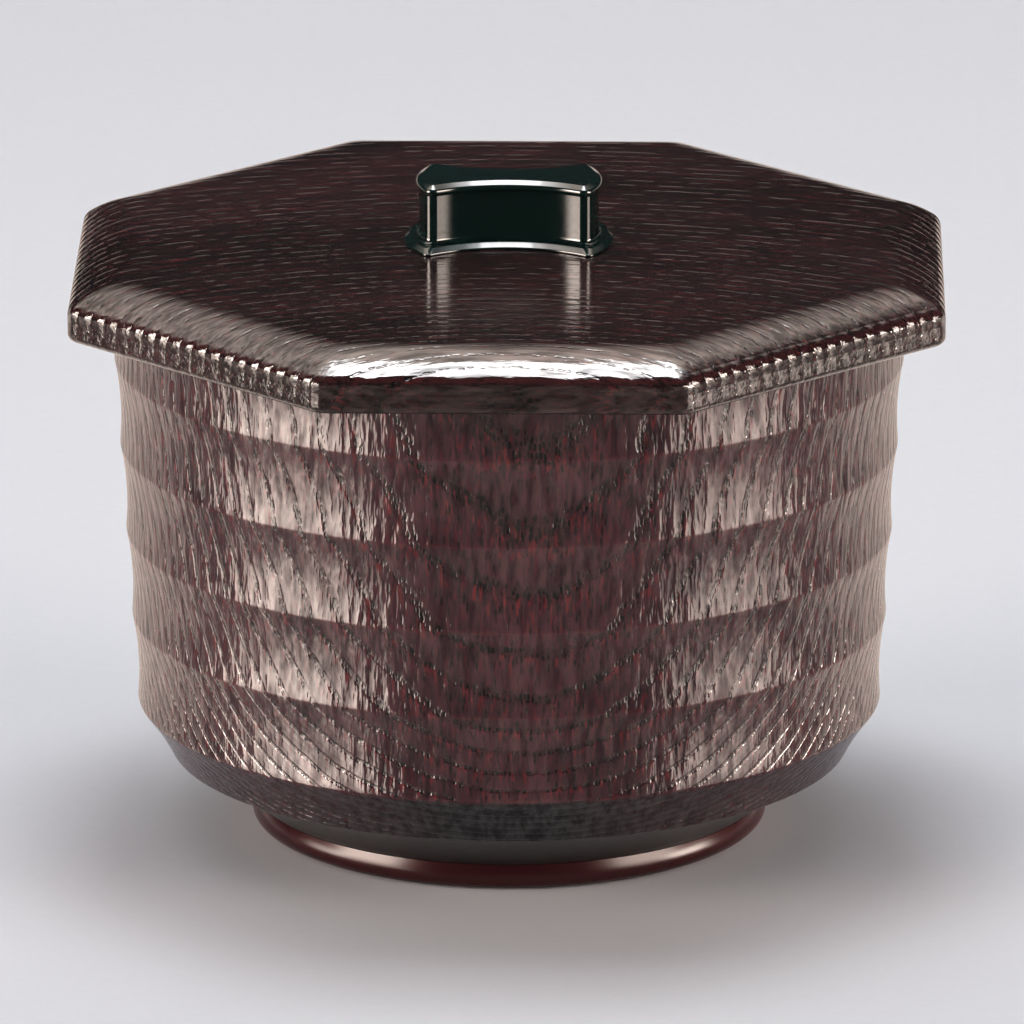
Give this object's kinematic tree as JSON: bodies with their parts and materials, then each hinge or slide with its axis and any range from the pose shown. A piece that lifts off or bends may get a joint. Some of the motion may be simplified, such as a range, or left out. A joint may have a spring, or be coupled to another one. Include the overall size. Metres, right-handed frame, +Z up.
{
  "type": "rice bowl with lid",
  "caption": "Round rice serving bowl with a wall of level scooped flutes on a beaded foot ring, under an eight-sided soft-shouldered lid with a bow-tie pinch knob.",
  "frame": {"origin": "centre of the foot's standing face, on the bowl's axis, at table level", "axes": "+Z up along the bowl's axis, X along the knob's length, -Y towards the side of the lid that faces the picture"},
  "size_m": [0.2, 0.2, 0.154],
  "materials": {
    "grain_lacquer": "resin moulded with wood grain, see-through red-brown lacquer over black grain",
    "smooth_lacquer": "smooth glossy red-brown lacquer",
    "black_lacquer": "polished black lacquer",
    "screw_steel": "plain stainless steel",
    "washer_nylon": "natural nylon"
  },
  "bodies": {
    "bowl": {"bowl_body": "grain_lacquer", "foot_ring": "smooth_lacquer"},
    "lid": {"lid_panel": "grain_lacquer", "lid_knob": "black_lacquer", "knob_screw_left": "screw_steel", "knob_screw_right": "screw_steel", "screw_washer_left": "washer_nylon", "screw_washer_right": "washer_nylon"}
  },
  "joints": [
    {"name": "lid_lift", "type": "slide", "parent": "bowl", "child": "lid", "axis": [0, 0, 1], "range_m": [0, 0.15]}
  ]
}
